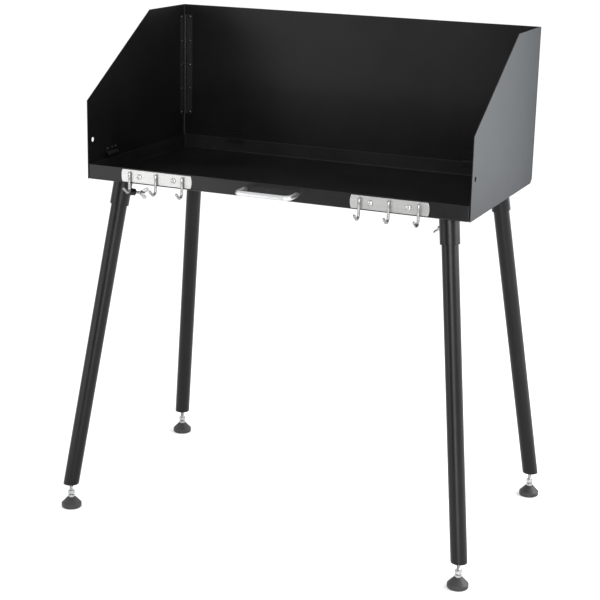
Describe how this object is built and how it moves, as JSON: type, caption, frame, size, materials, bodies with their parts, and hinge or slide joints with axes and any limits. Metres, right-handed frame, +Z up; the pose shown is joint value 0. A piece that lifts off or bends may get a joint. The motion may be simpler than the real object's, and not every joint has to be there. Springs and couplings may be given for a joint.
{
  "type": "camp cook table",
  "caption": "Steel camp cook table: shallow tray with a hinged three-sided windscreen, hook rails and a pull handle, on splayed pull-out tube legs with levelling feet.",
  "frame": {"origin": "on the ground, under the middle of the tray", "axes": "+Z up, +X to the right of a cook who stands at the front, front lip towards -Y"},
  "size_m": [0.887, 0.533, 1.005],
  "materials": {
    "black_coat": "satin powder coat",
    "stainless": "brushed",
    "zinc": "bright zinc plate",
    "rivet_steel": "bare steel",
    "foot_plastic": "moulded"
  },
  "bodies": {
    "base": {"tray": "black_coat", "socket_front_left": "black_coat", "socket_front_right": "black_coat", "socket_rear_left": "black_coat", "socket_rear_right": "black_coat", "boss_front_left": "black_coat", "boss_front_right": "black_coat", "boss_rear_left": "black_coat", "boss_rear_right": "black_coat", "rail_left": "stainless", "rail_right": "stainless", "hooks_left": "stainless", "hooks_right": "stainless", "rail_screws": "zinc", "rail_nuts": "zinc", "handle": "zinc", "handle_screws": "zinc"},
    "windscreen": {"back_panel": "black_coat", "rear_clips": "black_coat", "back_rivets": "rivet_steel", "back_leaf_left": "black_coat", "back_leaf_right": "black_coat", "hinge_pin_left": "rivet_steel", "hinge_pin_right": "rivet_steel"},
    "left_wing": {"wing_left": "black_coat", "wing_leaf_left": "black_coat", "wing_rivets_left": "rivet_steel", "wing_clip_left": "black_coat"},
    "right_wing": {"wing_right": "black_coat", "wing_leaf_right": "black_coat", "wing_rivets_right": "rivet_steel", "wing_clip_right": "black_coat"},
    "front_left_leg": {"leg_front_left": "black_coat", "plug_front_left": "black_coat"},
    "front_left_clamp": {"wing_screw_front_left": "zinc"},
    "front_left_foot": {"stud_front_left": "zinc", "jam_nut_front_left": "zinc", "pad_front_left": "foot_plastic"},
    "front_right_leg": {"leg_front_right": "black_coat", "plug_front_right": "black_coat"},
    "front_right_clamp": {"wing_screw_front_right": "zinc"},
    "front_right_foot": {"stud_front_right": "zinc", "jam_nut_front_right": "zinc", "pad_front_right": "foot_plastic"},
    "rear_left_leg": {"leg_rear_left": "black_coat", "plug_rear_left": "black_coat"},
    "rear_left_clamp": {"wing_screw_rear_left": "zinc"},
    "rear_left_foot": {"stud_rear_left": "zinc", "jam_nut_rear_left": "zinc", "pad_rear_left": "foot_plastic"},
    "rear_right_leg": {"leg_rear_right": "black_coat", "plug_rear_right": "black_coat"},
    "rear_right_clamp": {"wing_screw_rear_right": "zinc"},
    "rear_right_foot": {"stud_rear_right": "zinc", "jam_nut_rear_right": "zinc", "pad_rear_right": "foot_plastic"}
  },
  "joints": [
    {"name": "screen_lift", "type": "slide", "parent": "base", "child": "windscreen", "axis": [0, 0, 1], "range_m": [0, 0.1]},
    {"name": "left_wing_swing", "type": "hinge", "parent": "windscreen", "child": "left_wing", "pos_m": [-0.3926, 0.2006, 0.875], "axis": [0, 0, -1], "range_deg": [0, 25]},
    {"name": "right_wing_swing", "type": "hinge", "parent": "windscreen", "child": "right_wing", "pos_m": [0.3926, 0.2006, 0.875], "axis": [0, 0, 1], "range_deg": [0, 25]},
    {"name": "front_left_leg_slide", "type": "slide", "parent": "base", "child": "front_left_leg", "axis": [-0.1244, -0.1382, -0.9826], "range_m": [0, 0.045]},
    {"name": "front_left_clamp_turn", "type": "hinge", "parent": "base", "child": "front_left_clamp", "pos_m": [-0.34536, -0.15973, 0.66547], "axis": [0.6573, 0.7303, -0.1859], "continuous": true},
    {"name": "front_left_foot_level", "type": "slide", "parent": "front_left_leg", "child": "front_left_foot", "axis": [0, 0, 1], "range_m": [-0.015, 0.012]},
    {"name": "front_right_leg_slide", "type": "slide", "parent": "base", "child": "front_right_leg", "axis": [0.1244, -0.1382, -0.9826], "range_m": [0, 0.045]},
    {"name": "front_right_clamp_turn", "type": "hinge", "parent": "base", "child": "front_right_clamp", "pos_m": [0.34536, -0.15973, 0.66547], "axis": [-0.6573, 0.7303, -0.1859], "continuous": true},
    {"name": "front_right_foot_level", "type": "slide", "parent": "front_right_leg", "child": "front_right_foot", "axis": [0, 0, 1], "range_m": [-0.015, 0.012]},
    {"name": "rear_left_leg_slide", "type": "slide", "parent": "base", "child": "rear_left_leg", "axis": [-0.1244, 0.1382, -0.9826], "range_m": [0, 0.045]},
    {"name": "rear_left_clamp_turn", "type": "hinge", "parent": "base", "child": "rear_left_clamp", "pos_m": [-0.34536, 0.15973, 0.66547], "axis": [0.6573, -0.7303, -0.1859], "continuous": true},
    {"name": "rear_left_foot_level", "type": "slide", "parent": "rear_left_leg", "child": "rear_left_foot", "axis": [0, 0, 1], "range_m": [-0.015, 0.012]},
    {"name": "rear_right_leg_slide", "type": "slide", "parent": "base", "child": "rear_right_leg", "axis": [0.1244, 0.1382, -0.9826], "range_m": [0, 0.045]},
    {"name": "rear_right_clamp_turn", "type": "hinge", "parent": "base", "child": "rear_right_clamp", "pos_m": [0.34536, 0.15973, 0.66547], "axis": [-0.6573, -0.7303, -0.1859], "continuous": true},
    {"name": "rear_right_foot_level", "type": "slide", "parent": "rear_right_leg", "child": "rear_right_foot", "axis": [0, 0, 1], "range_m": [-0.015, 0.012]}
  ]
}
